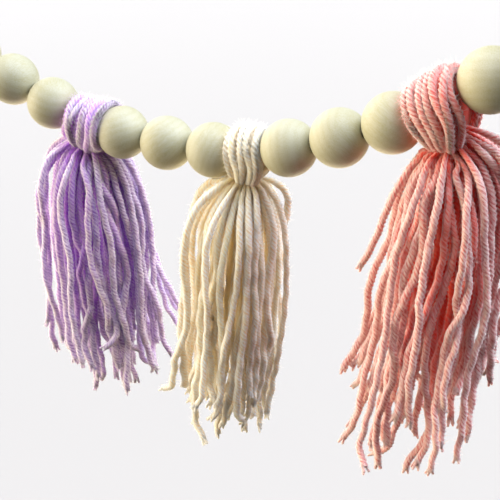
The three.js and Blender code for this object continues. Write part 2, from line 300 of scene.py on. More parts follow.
def yarn_look(add, inner, groove, crest):
    """Matte four-ply acrylic: vivid painted shade inside, pale painted highlights on crests and outside.
    """
    ridge, depth, tone, along = (
        add("ShaderNodeAttribute", attribute_name=kept).outputs["Fac"]
        for kept in ("crest", "depth", "tone", "along")
    )
    section = add("ShaderNodeAttribute", attribute_name="ply_place").outputs["Vector"]
    # Fibres run along the plies: the noise is drawn out lengthwise, so its cells are thin streaks
    lengthwise = add(
        "ShaderNodeMath",
        {0: along, 1: FIBRE_WIDTH / FIBRE_LENGTH, 2: tone}, operation="MULTIPLY_ADD",
    )
    runs = add("ShaderNodeCombineXYZ", {"Z": lengthwise})
    where = add("ShaderNodeVectorMath", {0: section, 1: runs})
    fibres = add(
        "ShaderNodeTexNoise",
        {"Vector": where, "Scale": 1 / (FIBRE_WIDTH * MM), "Detail": 3.0, "Roughness": 0.6},
    )
    # From painted shade in the grooves to a painted highlight on the crests, broken up by the fibres
    height = add("ShaderNodeMath", {0: fibres, 1: FIBRE_CONTRAST, 2: ridge}, operation="MULTIPLY_ADD")
    ply = add(
        "ShaderNodeMapRange",
        {"Value": height, "From Min": GROOVE_TO_CREST[0], "From Max": GROOVE_TO_CREST[1]},
    )
    outer = add("ShaderNodeMix", {0: ply, 6: linear(groove), 7: linear(crest)}, data_type="RGBA")
    # From the painted deep shade inside the tassel to the outer colour;
    # tone shifts it a little from strand to strand
    shifted = add("ShaderNodeMath", {0: tone, 1: TONE_SHIFT, 2: depth}, operation="MULTIPLY_ADD")
    # Crests lean further towards the outer colour, a painted highlight
    crest_highlight_share = add("ShaderNodeMath", {0: ply, 1: CREST_SHIFT, 2: shifted}, operation="MULTIPLY_ADD")
    outside = add(
        "ShaderNodeMapRange",
        {"Value": crest_highlight_share, "From Min": INNER_TO_OUTER[0], "From Max": INNER_TO_OUTER[1]},
    )
    colour = add("ShaderNodeMix", {0: outside, 6: linear(inner), 7: outer.outputs[2]}, data_type="RGBA")
    bump = add("ShaderNodeBump", {"Distance": FIBRE_RELIEF * MM, "Height": fibres})
    # Light goes into the yarn and comes out again nearby, also on its far side
    return {
        "Base Color": colour.outputs[2], "Roughness": 0.9, "IOR": 1.49, "Normal": bump,
        "Sheen Weight": 0.9, "Sheen Roughness": 0.45, "Subsurface Weight": 1.0,
        "Subsurface Radius": (1.0, 1.0, 1.0), "Subsurface Scale": LIGHT_REACH * MM,
    }


yarns = {
    colour: make_material(f"acrylic_yarn_{colour}", yarn_look, **shades)
    for colour, shades in YARN_COLOURS.items()
}
print("yarn materials:", ", ".join(yarns))

# %% [markdown]
# ## Cotton string
#
# The string is twisted cotton of three plies. It is undyed, a little yellow, with a dull gloss from
# its tight twist. It shows only at the two hanging loops and as a dark line between the beads, so
# cream crests, painted shade in its grooves and one noise for its lint are enough.

# %% String material
# Real lint is finer too, and is drawn as coarse as it needs to show
LINT_SIZE = 0.4545
LINT_RELIEF = 0.08


def cotton_look(add):
    """Undyed twisted cotton: cream crests, grey-brown painted shade in the grooves."""
    crest = add("ShaderNodeAttribute", attribute_name="crest").outputs["Fac"]
    place = add("ShaderNodeTexCoord").outputs["Object"]
    lint = add(
        "ShaderNodeTexNoise", {"Vector": place, "Scale": 1 / (LINT_SIZE * MM), "Detail": 3.0}
    )
    share = add("ShaderNodeMath", {0: lint, 1: 0.6, 2: crest}, operation="MULTIPLY_ADD")
    # Grey-brown painted shade in the grooves; the cream is the cotton's own colour
    colour = add("ShaderNodeMix", {0: share, 6: linear("a89a7e"), 7: linear("f0ead9")}, data_type="RGBA")
    bump = add("ShaderNodeBump", {"Strength": 0.5, "Distance": LINT_RELIEF * MM, "Height": lint})
    return {
        "Base Color": colour.outputs[2], "Roughness": 0.8, "IOR": 1.53, "Normal": bump,
        "Sheen Weight": 0.2,
    }


cotton = make_material("twisted_cotton", cotton_look)
print("string material:", cotton.name)

# %% [markdown]
# ## Twisting a strand with Geometry Nodes
#
# A strand of yarn is its plies wound round each other. Modelling each ply would be slow, so a tree
# sweeps one section along each strand: a star with a point for each ply, turned steadily on its way.
# The points become the plies' ridges. One tree serves the tassels with four plies and the string
# with three. Its first part makes smooth curves with rings at even distances, and tilts them.

# %% Twisted paths
def new_tree(name, count, *sizes):
    """An empty Geometry Nodes tree whose inputs are a geometry, a whole number, sizes and a yarn."""
    tree = bpy.data.node_groups.new(name, "GeometryNodeTree")
    tree.interface.new_socket("Geometry", in_out="OUTPUT", socket_type="NodeSocketGeometry")
    kinds = {"Geometry": "Geometry", count: "Int", **dict.fromkeys(sizes, "Float"), "Yarn": "Material"}
    for label, kind in kinds.items():
        tree.interface.new_socket(label, in_out="INPUT", socket_type=f"NodeSocket{kind}")
    return tree, partial(add_node, tree), tree.nodes.new("NodeGroupInput").outputs


def twisted_paths(add, given):
    """Smooth curves that keep how far along each ring is, and turn once for each turn length."""
    paths = add("GeometryNodeMeshToCurve", {"Mesh": given["Geometry"]})
    smooth = add("GeometryNodeCurveSplineType", {"Curve": paths}, spline_type="CATMULL_ROM")
    rings = add(
        "GeometryNodeResampleCurve", {"Curve": smooth, "Length": given["Ring Spacing"]}, mode="LENGTH"
    )
    travelled = add("GeometryNodeSplineParameter").outputs["Length"]
    marked = add(
        "GeometryNodeStoreNamedAttribute", {"Geometry": rings, "Name": "along", "Value": travelled}
    )
    # A large multiple of the tone starts each strand's twist at a turn of its own
    tone = add("GeometryNodeInputNamedAttribute", {"Name": "tone"})
    own_turn = add("ShaderNodeMath", {0: tone, 1: 971.0}, operation="MULTIPLY")
    turns = add("ShaderNodeMath", {0: travelled, 1: given["Turn Length"]}, operation="DIVIDE")
    turned = add("ShaderNodeMath", {0: turns, 1: -2 * math.pi, 2: own_turn}, operation="MULTIPLY_ADD")
    return add("GeometryNodeSetCurveTilt", {"Curve": marked, "Tilt": turned})


print("paths ready")

# %% [markdown]
# The section's points remember whether they lie on a crest and where they are in the section. Both
# are stored before the sweep, which hands them on to every ring, so the material can read them.

# %% The twisted strand tree
def ply_section(add, given):
    """A star with a point for each ply."""
    star = add(
        "GeometryNodeCurveStar",
        {
            "Points": given["Plies"], "Inner Radius": given["Groove Radius"],
            "Outer Radius": given["Crest Radius"],
        },
    )
    crested = add(
        "GeometryNodeStoreNamedAttribute",
        {"Geometry": star, "Name": "crest", "Value": star.outputs[1]},
    )
    return add(
        "GeometryNodeStoreNamedAttribute",
        {"Geometry": crested, "Name": "ply_place", "Value": add("GeometryNodeInputPosition")},
        data_type="FLOAT_VECTOR",
    )


def strand_tree():
    """Sweeps a twisted star section along every run of edges."""
    tree, add, given = new_tree(
        "twisted_strand", "Plies", "Crest Radius", "Groove Radius", "Ring Spacing", "Turn Length"
    )
    thickness = add("GeometryNodeInputNamedAttribute", {"Name": "thickness"})
    swept = add(
        "GeometryNodeCurveToMesh",
        {
            "Curve": twisted_paths(add, given), "Profile Curve": ply_section(add, given),
            "Scale": thickness, "Fill Caps": True,
        },
    )
    rounded = add("GeometryNodeSetShadeSmooth", {"Geometry": swept})
    real = add("GeometryNodeRealizeInstances", {"Geometry": rounded})
    painted = add("GeometryNodeSetMaterial", {"Geometry": real, "Material": given["Yarn"]})
    add("NodeGroupOutput", {"Geometry": painted})
    return tree


twisted_strand = strand_tree()
print("tree", twisted_strand.name, "with", len(twisted_strand.nodes), "nodes")

# %% [markdown]
# A tree becomes a mesh in three steps: a carrier object gets the tree as a modifier, the modifier's
# inputs are set by their sockets' identifiers, and the evaluated result is copied to a plain mesh,
# which needs neither tree nor modifier any more.

# %% Running a tree
def run_tree(name, carrier_mesh, tree, values):
    """The mesh that the tree makes from carrier_mesh, as a new object; the carrier goes."""
    carrier = add_object(name + "_carrier", carrier_mesh)
    modifier = carrier.modifiers.new("nodes", "NODES")
    modifier.node_group = tree
    for socket in tree.interface.items_tree:
        if socket.in_out == "INPUT" and socket.name in values:
            modifier[socket.identifier] = values[socket.name]
    carrier.update_tag()
    graph = bpy.context.evaluated_depsgraph_get()
    mesh = bpy.data.meshes.new_from_object(carrier.evaluated_get(graph), depsgraph=graph)
    bpy.data.objects.remove(carrier)
    mesh.name = name
    print(f"{name}: {sum(len(p.vertices) - 2 for p in mesh.polygons)} triangles")
    return add_object(name, mesh)


def path_mesh(name, strands):
    """Runs of edges for the tree. A strand is points, as (place, thickness, depth), and a tone."""
    places, edges, thickness, tone, depth = [], [], [], [], []
    for strand in strands:
        first = len(places)
        for place, width, share in strand["points"]:
            places.append(Vector(place) * MM)
            thickness.append(width)
            depth.append(share)
            tone.append(strand["tone"])
        edges += [(k, k + 1) for k in range(first, len(places) - 1)]
    mesh = bpy.data.meshes.new(name)
    mesh.from_pydata(places, edges, [])
    for attribute, numbers in (("thickness", thickness), ("tone", tone), ("depth", depth)):
        mesh.attributes.new(attribute, "FLOAT", "POINT").data.foreach_set("value", numbers)
    return mesh


print("tree runner ready")

# %% [markdown]
# ## The string
#
# One string runs from knot to knot, through every bead and under the fold of every tassel. It is a
# cord of a real length, and its weight-bearing line is the hanging line from above.

# %% String through the beads
STRING_DIAMETER = 1.8
STRING_SETTINGS = {
    "Plies": 3, "Crest Radius": STRING_DIAMETER / 2 * MM, "Groove Radius": 0.62 * MM,
    "Ring Spacing": 0.45 * MM, "Turn Length": 4.2 * MM, "Yarn": cotton,
}


def through(points, spacing):
    """Places about spacing apart on the centripetal Catmull-Rom curve through the points."""
    points = [Vector(p) for p in points]
    ends = [2 * points[0] - points[1], *points, 2 * points[-1] - points[-2]]
    places = []
    for p0, p1, p2, p3 in zip(ends, ends[1:], ends[2:], ends[3:]):
        t1 = (p1 - p0).length ** 0.5
        t2 = t1 + (p2 - p1).length ** 0.5
        t3 = t2 + (p3 - p2).length ** 0.5
        count = max(1, round((p2 - p1).length / spacing))
        for k in range(count):
            t = mix(t1, t2, k / count)
            a1 = p0.lerp(p1, t / t1)
            a2 = p1.lerp(p2, (t - t1) / (t2 - t1))
            a3 = p2.lerp(p3, (t - t2) / (t3 - t2))
            b1 = a1.lerp(a2, t / t2)
            b2 = a2.lerp(a3, (t - t1) / (t3 - t1))
            places.append(b1.lerp(b2, (t - t1) / (t2 - t1)))
    return places + [points[-1]]


def cord_strand(places):
    return {"points": [(place, 1.0, 1.0) for place in places], "tone": 0.5}


start_tilt = math.atan(START_SLOPE)
string_start = Vector((math.cos(start_tilt), 0, math.sin(start_tilt))) * KNOT_END
string_end = end_place - Vector((math.cos(end_tilt), 0, math.sin(end_tilt))) * KNOT_END
string_route = [string_start, *(place for _, place, _ in stations), string_end]
string_path = through(string_route, 2.0)
string_run = path_mesh("string", [cord_strand(string_path)])
string = run_tree("string_twisted", string_run, twisted_strand, STRING_SETTINGS)
stand_for(string, "string")

# %% [markdown]
# ## The hanging loops
#
# Each end of the string is doubled back and tied: a loop for a hook, a knot that keeps the beads on,
# and a cut tail. The loop follows a few points in the garland's own plane, given as shares of its
# length and half its width. The knot is the string wound about the doubled stem, drawn tight.

# %% Loops, knots and tails
LOOP_WIDTH = 12.0
LOOP_OUTLINE = [(0.04, 0.68), (0.26, 1.0), (0.6, 0.82), (0.92, 0.174), (1.1, 0.1304)]
TAIL = [(3.0, 0.0, -1.2), (2.0, 1.6, -3.2), (-1.5, 3.0, -6.0), (-4.0, 3.6, -10.0)]
KNOT_TURNS = 2.6
KNOT_STEPS = 44
KNOT_WIND_RADIUS = 2.15
KNOT_INSET = 1.0


def loop_paths():
    """The loop, the knot's winding, the stem in it and the tail, in the loop's own place."""
    half = (LOOP_WIDTH + STRING_DIAMETER) / 2
    upper = [Vector((LOOP_LENGTH * along, 0, half * across)) for along, across in LOOP_OUTLINE]
    lower = [Vector((p.x, 0, -p.z)) for p in upper]
    seat = Vector((-STRING_DIAMETER / 2, 0, 0))
    loop = through([*reversed(upper), seat, *lower], 1.2)
    winding = []
    for k in range(KNOT_STEPS + 1):
        share = k / KNOT_STEPS
        angle = 2 * math.pi * KNOT_TURNS * share + 0.6
        bulge = KNOT_WIND_RADIUS * (0.82 + 0.18 * math.sin(math.pi * share))
        along = LOOP_LENGTH + KNOT_INSET + (KNOT_LENGTH - 2 * KNOT_INSET) * share
        winding.append(Vector((along, bulge * math.cos(angle), bulge * math.sin(angle))))
    stem = [Vector((LOOP_LENGTH - 1.5 + 1.2 * k, 0, 0)) for k in range(7)]
    tail = through([Vector((LOOP_LENGTH + x, y, z)) for x, y, z in TAIL], 1.0)
    return [loop, winding, stem, tail]


def make_loop(side, turn):
    """The loop as one piece, moved to its end of the garland by the matrix turn."""
    strands = [cord_strand([turn @ place for place in path]) for path in loop_paths()]
    loop = run_tree(f"hanging_loop_{side}", path_mesh(side, strands), twisted_strand, STRING_SETTINGS)
    stand_for(loop, f"end_loop_{side}")


make_loop("left", Matrix.Rotation(-start_tilt, 4, "Y"))
make_loop(
    "right",
    Matrix.Translation(end_place) @ Matrix.Rotation(-end_tilt, 4, "Y") @ Matrix.Rotation(math.pi, 4, "Z"),
)

# %% [markdown]
# ## Maple
#
# The beads are bare sanded maple, a pale hardwood. Its growth layers are faint bands, and its pores
# are fine dashes along the grain. The layers run through a bead, so the pattern is read from an
# attribute that holds each bead's own turn of the grain, and no two beads look the same.

# %% Wood material
# Maple's pores are about 0.1 mm wide, too fine to show, so they are drawn three times as wide
GROWTH_LAYER = 2.5661
PORE_WIDTH = 0.3
PORE_LENGTH = 3.0
PORE_RELIEF = 0.05
CLOUD_SIZE = 14.2857


def maple_look(add):
    """Bare sanded maple: cream, faint growth layers, fine pores drawn out along the grain."""
    grain = add("ShaderNodeAttribute", attribute_name="grain").outputs["Vector"]
    clouds = add("ShaderNodeTexNoise", {"Vector": grain, "Scale": 1 / (CLOUD_SIZE * MM), "Detail": 2.0})
    # At scale 1 the node draws 10 / pi bands in a metre
    layers = add(
        "ShaderNodeTexWave",
        {
            "Vector": grain, "Scale": math.pi / (10 * GROWTH_LAYER * MM),
            "Distortion": 5.0, "Detail": 2.0, "Detail Scale": 0.6,
        },
        wave_type="BANDS", bands_direction="X",
    )
    drawn = add("ShaderNodeMapping", {"Vector": grain, "Scale": (1.0, 1.0, PORE_WIDTH / PORE_LENGTH)})
    pores = add(
        "ShaderNodeTexNoise",
        {"Vector": drawn, "Scale": 1 / (PORE_WIDTH * MM), "Detail": 3.0, "Roughness": 0.65},
    )
    tint = add("ShaderNodeMath", {0: layers.outputs["Fac"], 1: 0.1, 2: pores}, operation="MULTIPLY_ADD")
    mixed = add("ShaderNodeMath", {0: clouds, 1: 0.5, 2: tint}, operation="MULTIPLY_ADD")
    share = add("ShaderNodeMapRange", {"Value": mixed, "From Min": 0.35})
    colour = add("ShaderNodeMix", {0: share, 6: linear("a59e70"), 7: linear("bbbaa5")}, data_type="RGBA")
    bump = add("ShaderNodeBump", {"Strength": 0.12, "Distance": PORE_RELIEF * MM, "Height": pores})
    return {"Base Color": colour.outputs[2], "Roughness": 0.55, "IOR": 1.5, "Normal": bump}


maple = make_material("bare_maple", maple_look)
print("bead material:", maple.name)

# %% [markdown]
# ## Turned beads
#
# A bead is turned on a lathe and drilled along its axis. Its mesh is made the same way: one profile
# is spun round the hole. The profile is the ball's arc, a small rounding at each mouth of the hole,
# and the hole's wall, so the mesh is closed and shows no edge where the string goes in.

# %% Beads
BEAD_SIDES = 64
BEAD_ARC_STEPS = 30
MOUTH_ROUNDING = 0.45
MOUTH_STEPS = 4


def ring_faces(rings, count):
    """Faces that join rings of count places each, closed both ways."""
    faces = []
    for k in range(rings):
        here, ahead = k * count, (k + 1) % rings * count
        for j in range(count):
            up = (j + 1) % count
            faces.append((here + j, ahead + j, ahead + up, here + up))
    return faces


def bead_profile():
    """From the left mouth over the ball to the right mouth; the hole's wall closes it."""
    radius, hole = BEAD_DIAMETER / 2, BEAD_HOLE / 2
    rim = math.asin((hole + MOUTH_ROUNDING) / radius)
    left = []
    for k in range(MOUTH_STEPS + 1):
        angle = math.pi / 2 * k / MOUTH_STEPS
        left.append((
            -radius * math.cos(rim) + MOUTH_ROUNDING * (1 - math.sin(angle)),
            hole + MOUTH_ROUNDING * (1 - math.cos(angle)),
        ))
    arc = []
    for k in range(1, BEAD_ARC_STEPS):
        angle = mix(rim, math.pi - rim, k / BEAD_ARC_STEPS)
        arc.append((-radius * math.cos(angle), radius * math.sin(angle)))
    right = [(-x, r) for x, r in reversed(left)]
    return left + arc + right


def make_bead(number, place, tilt):
    """Spins the profile round X, gives the bead its own grain and moves it to its place."""
    profile = bead_profile()
    places = []
    for k in range(BEAD_SIDES):
        turn = 2 * math.pi * k / BEAD_SIDES
        places += [Vector((x, r * math.cos(turn), r * math.sin(turn))) for x, r in profile]
    mesh = bpy.data.meshes.new(f"turned_bead_{number:02d}")
    mesh.from_pydata(places, [], ring_faces(BEAD_SIDES, len(profile)))
    mesh.materials.append(maple)
    mesh.shade_smooth()
    grain_turn = Matrix.Rotation(number * 2.4, 3, "X") @ Matrix.Rotation(0.5 + 0.37 * number, 3, "Y")
    shift = Vector((0.031, 0.017, 0.043)) * number
    grain = mesh.attributes.new("grain", "FLOAT_VECTOR", "POINT")
    for vertex, value in zip(mesh.vertices, grain.data):
        value.vector = grain_turn @ (vertex.co * MM) + shift
    mesh.transform(Matrix.Scale(MM, 4) @ Matrix.Translation(place) @ Matrix.Rotation(-tilt, 4, "Y"))
    stand_for(add_object(mesh.name, mesh), f"bead_{number:02d}")


for number, (place, tilt) in enumerate(bead_stations, 1):
    make_bead(number, place, tilt)
print(len(bead_stations), "beads")

# %% [markdown]
# ## The skirts
#
# Yarn leaves the drawn-in neck outwards, turns down under its own weight and hangs in loose waves.
# The plain solids' rule places these strands too: a golden-angle spiral spreads their roots evenly,
# and a repeatable chance gives each its own waves and length. The real hanks are denser than the
# solids, so filler strands hang between the others.

# %% Each strand's own sizes
STRANDS = 44
GOLDEN_TURN = math.pi * (3 - math.sqrt(5))
FILLER_TURN = 1.3
FILLER_RANK = 0.93
FLARE_POWER = 0.9
HOOK_SIZE = 6.0


def chance(seed, i, k, low=0.0, high=1.0):
    """A repeatable number from low to high for strand i and property k."""
    value = math.sin(seed * 17.13 + i * 12.9898 + k * 78.233) * 43758.5453
    return low + (high - low) * (value - math.floor(value))


def strand_of(tassel, i):
    """Where strand i starts, how far it flares and how it waves. Its rank is 1 on the outside."""
    seed = tassel.seed
    rank = math.sqrt((i + 0.5) / STRANDS)
    azimuth = i * GOLDEN_TURN + chance(seed, i, 1, -0.08, 0.08)
    if i >= STRANDS:
        rank = math.sqrt((i - STRANDS + 0.5) / tassel.fillers) * FILLER_RANK
        azimuth = (i - STRANDS) * GOLDEN_TURN + FILLER_TURN
    side = math.cos(azimuth - tassel.side_azimuth)
    sizes = dict(
        rank=rank,
        azimuth=azimuth,
        flare=tassel.flare * rank**FLARE_POWER * (1 - tassel.tuck * (1 + side) / 2),
        curl=tassel.curl * chance(seed, i, 2, 0.94, 1.06),
        spread=rank * (tassel.spread + tassel.side_spread * side),
        length=tassel.length - tassel.trim * chance(seed, i, 3),
        wave=tassel.wave * chance(seed, i, 4, 0.5, 1.5),
        wave_length=chance(seed, i, 5, 42, 76),
        phase=2 * math.pi * chance(seed, i, 6),
        ripple=tassel.wave * chance(seed, i, 7, 0.4, 1.2),
        ripple_length=chance(seed, i, 8, 36, 66),
        ripple_phase=2 * math.pi * chance(seed, i, 9),
        end_bend=chance(seed, i, 10, -4.5, 4.5),
        rise=tassel.shoulder * max(0.0, math.cos(azimuth - tassel.shoulder_azimuth)) ** 1.5 * rank,
        hook=HOOK_SIZE * chance(seed, i, 12, -1.0, 1.0) ** 3,
        kick=0.0,
        girth=chance(seed, i, 20, 0.86, 1.06),
    )
    return SimpleNamespace(**sizes | tassel.strays.get(i, {}))


print("strands:", ", ".join(f"{tassel.name} {STRANDS + tassel.fillers}" for tassel in TASSELS))

# %% [markdown]
# A strand's path is a sum of simple moves: out from the neck and down, slow waves, the kinks that the
# yarn keeps from its ball, a bend and a small hook at its end, and the whole skirt's sway. Handling
# loosens the lower halves, so the kinks grow there.

# %% Strand paths
NECK_RADIUS = 3.0
NECK_FAN = 2.4
ROOT_RISE = 0.6
WAVE_ONSET = 25.0
KINK_SIZE = 1.6
KINK_SPACING = 23.0
KINK_ONSET = 40.0
END_KINK = 1.7
END_KINK_REACH = (50.0, 105.0)
CRINKLE_SIZE = 0.14
CRINKLE_LENGTH = 10.0
HOOK_LENGTH = 9.0


def kink(seed, i, s):
    """The sideways shift of strand i: straight runs between turning points, then a fine crinkle."""
    step = s / (KINK_SPACING * chance(seed, i, 13, 0.8, 1.3)) + chance(seed, i, 14)
    k, share = int(step), step % 1
    aside = [
        KINK_SIZE * mix(*(chance(seed, i, n + 2 * k + c, -1, 1) for n in (30, 32)), share)
        for c in (0, 1)
    ]
    turn = 2 * math.pi * (s / CRINKLE_LENGTH + chance(seed, i, 15))
    bends = Vector((*aside, 0)) + CRINKLE_SIZE * Vector((math.cos(turn), math.sin(turn), 0))
    growth = mix(1.0, END_KINK, smoothstep(*END_KINK_REACH, s))
    return bends * smoothstep(0, KINK_ONSET, s) * growth


def strand_point(tassel, strand, i, s):
    """The place of strand i at length s from the neck, taken from where the tassel hangs."""
    fade = math.tanh(s / strand.curl)
    lift = 1 - math.sqrt(1 - strand.flare ** 2)
    ramp = s / (s + WAVE_ONSET)
    along = s / strand.length
    rest = math.tanh(s / WAVE_ONSET)
    sway = along ** tassel.sway_power
    ripple = math.sin(2 * math.pi * s / strand.ripple_length + strand.ripple_phase)
    wave = math.sin(2 * math.pi * s / strand.wave_length + strand.phase)
    out = NECK_RADIUS * strand.rank + strand.flare * strand.curl * fade + strand.spread * s
    out += strand.ripple * ramp * ripple + strand.kick * along**4
    aside = strand.wave * ramp * wave + strand.end_bend * along**3
    hooked = smoothstep(strand.length - HOOK_LENGTH, strand.length + HOOK_LENGTH, s) * 2
    aside += strand.hook * hooked
    cos, sin = math.cos(strand.azimuth), math.sin(strand.azimuth)
    return kink(tassel.seed, i, s) + Vector((
        tassel.neck_shift + out * cos - aside * sin
        + tassel.rest[0] * rest + tassel.sway[0] * sway,
        out * sin + aside * cos + tassel.rest[1] * rest + tassel.sway[1] * sway,
        -tassel.neck_drop + ROOT_RISE + NECK_FAN * strand.rank + strand.rise
        - s + lift * strand.curl * fade + 0.5 * abs(strand.hook) * hooked,
    ))


print("kinks about", KINK_SPACING, "mm apart")

# %% [markdown]
# Yarn is soft but solid: a strand can't pass through a bead or through its neighbour. A strand is
# pressed out of the beads as it is laid. Then all points that are too near another strand's are
# pushed apart sideways, a little in each pass, and each push is spread along its strand. A simulation
# could do it too, but this takes a second and always ends the same.

# %% Laying the strands side by side
# With its fluff; the plain solids have the bare yarn's 1.2
YARN_RADIUS = 1.4
YARN_CLEARANCE = 0.1
POINT_SPACING = 2.5
ROOT_TAPER = 14.0
ROOT_THICKNESS = 0.55
PARTING_PASSES = 8
PARTING_START = 8
PARTING_STRENGTH = 0.4


def press(place, neighbours):
    """Moves a yarn's middle out of the beads on both sides."""
    clear = BEAD_DIAMETER / 2 + YARN_RADIUS + YARN_CLEARANCE
    for bead in neighbours:
        away = place - bead
        if away.length < clear:
            place = bead + away.normalized() * clear
    return place


def skirt_strands(tassel, hang, neighbours):
    """Every strand of a skirt as a path for the strand tree, moved to where the tassel hangs."""
    strands = []
    for i in range(STRANDS + tassel.fillers):
        strand = strand_of(tassel, i)
        steps = round(strand.length / POINT_SPACING)
        points = []
        for k in range(steps + 1):
            s = strand.length * k / steps
            width = mix(ROOT_THICKNESS, strand.girth, smoothstep(0, ROOT_TAPER, s))
            # Painted shade: deep in the skirt and near the neck the depth is low, so the yarn turns dark
            # and vivid there; it fades towards the cut ends
            outer = mix(strand.rank ** 2, 1.0, 0.85 * smoothstep(0.4, 1.0, k / steps))
            depth = outer * smoothstep(-ROOT_TAPER / 3, ROOT_TAPER, s)
            points.append((hang + press(strand_point(tassel, strand, i, s), neighbours), width, depth))
        strands.append({"points": points, "tone": chance(tassel.seed, i, 11)})
    return strands


def part_strands(strands):
    """Moves strands apart where they run into each other."""
    room = 2 * (YARN_RADIUS + YARN_CLEARANCE)
    for _ in range(PARTING_PASSES):
        owners = [(i, k) for i, strand in enumerate(strands) for k in range(len(strand["points"]))]
        finder = KDTree(len(owners))
        for index, (i, k) in enumerate(owners):
            finder.insert(strands[i]["points"][k][0], index)
        finder.balance()
        pushes = [[Vector((0, 0, 0)) for _ in strand["points"]] for strand in strands]
        for i, k in owners:
            place = strands[i]["points"][k][0]
            for other, index, distance in finder.find_range(place, room):
                if owners[index][0] != i and distance > 0:
                    level = (place - other) * ((room - distance) / distance)
                    pushes[i][k] += PARTING_STRENGTH * Vector((level.x, level.y, 0))
        for i, strand in enumerate(strands):
            points = strand["points"]
            for k in range(1, len(points)):
                near = pushes[i][max(k - 2, 0):k + 3]
                push = sum(near, Vector((0, 0, 0))) / len(near) * smoothstep(0, PARTING_START, k)
                place, width, depth = points[k]
                points[k] = (place + push, width, depth)


print("strands keep", 2 * (YARN_RADIUS + YARN_CLEARANCE), "mm apart")

# %% [markdown]
# ## Frayed ends
#
# Cut yarn opens at its end: the plies lose their twist over the last few millimetres and spread like
# a small brush. Short thin strands start inside each cut end and lean apart.

# %% Plies at the cut ends
FRAY_PLIES = 4
FRAY_LENGTH = 3.4
FRAY_SPREAD = 0.8
FRAY_ROOT = 1.3
FRAY_STEPS = 4
PLY_THICKNESS = 0.46
PLY_OFFSET = 0.5


def frayed_ends(seed, strands):
    """Short plies that open out from the cut end of every strand."""
    plies = []
    for i, strand in enumerate(strands):
        (before, _, _), (end, _, depth) = strand["points"][-2:]
        forward = (end - before).normalized()
        side = forward.orthogonal().normalized()
        other = forward.cross(side)
        for j in range(FRAY_PLIES):
            key = FRAY_PLIES * i + j
            angle = 2 * math.pi * (j / FRAY_PLIES + chance(seed, key, 16, 0.0, 0.3))
            outwards = side * math.cos(angle) + other * math.sin(angle)
            length = FRAY_LENGTH * chance(seed, key, 17, 0.6, 1.2)
            spread = FRAY_SPREAD * chance(seed, key, 18, 0.3, 1.3)
            points = []
            for k in range(FRAY_STEPS + 1):
                share = k / FRAY_STEPS
                reach = PLY_OFFSET + spread * share**1.6
                place = end + forward * (share * length - FRAY_ROOT) + outwards * reach
                points.append((place, PLY_THICKNESS * mix(1.1, 0.75, share), depth))
            plies.append({"points": points, "tone": chance(seed, key, 19)})
    return plies


print(FRAY_PLIES, "plies at each cut end")

# %% [markdown]
# ## The heads
#
# Over the string the same yarn lies side by side in a fold. This makes a round head with a ridge for
# each strand. The beads on both sides press it in. One function gives a place in the head from a
# place across it, an angle round the string and an inset, and all of the head is laid with it.

# %% The head's form
RIDGE_BOW = 0.18
WAIST_SHARE = 0.75
NECK_GATHER = 0.62


def head_reach(tassel, angle):
    """How far the head's surface is from the string, at an angle from straight up."""
    turned = abs(math.atan2(math.sin(angle), math.cos(angle)))
    above = mix(tassel.top, tassel.depth, smoothstep(0, math.pi / 2, turned))
    return mix(above, tassel.neck_drop, smoothstep(math.pi / 2, math.pi, turned))


def head_place(tassel, tilt, neighbours, across, angle, inset):
    """A place in the head, inset under its surface; across runs from -1 to 1 along the string."""
    gather = 1 - NECK_GATHER * smoothstep(math.pi * 0.5, math.pi, abs(angle))
    bow = (math.pi / 2 * across - RIDGE_BOW * math.sin(math.pi * across)) * gather
    waist = WAIST_SHARE * tassel.depth
    reach = waist + (head_reach(tassel, angle) - inset - waist) * math.cos(bow)
    place = Vector((
        tassel.head_shift * gather + (tassel.half_width - inset) * math.sin(bow),
        reach * math.sin(angle), reach * math.cos(angle),
    ))
    lean = math.atan2(tassel.neck_shift, tassel.neck_drop)
    sunk = smoothstep(0, tassel.neck_drop, -place.z)
    return press(Matrix.Rotation(-mix(tilt, lean, sunk), 3, "Y") @ place, neighbours)


print("heads", ", ".join(f"{2 * tassel.half_width:.1f} mm wide" for tassel in TASSELS))

# %% [markdown]
# Each strand rises from the neck in front, goes over the string and down into the neck behind. Three
# layers fill the gaps between the outer strands. Painted shade darkens the yarn and gives it colour
# where a strand is drawn in at the neck, where a bead presses on it, and with every layer.

# %% The head's strands
HEAD_STEPS = 44
HEAD_LAYERS = 3
HEAD_INSET = 0.9
LAYER_SPACING = 1.9
LAYER_SHADE = 0.8
HEAD_STRAND_PITCH = 2.3
NECK_OPENING = 0.1
# The head's depths: the second is painted shade at the neck and beside the beads
HEAD_PALENESS = 0.62
HEAD_HOLLOW_SHADE = 0.35


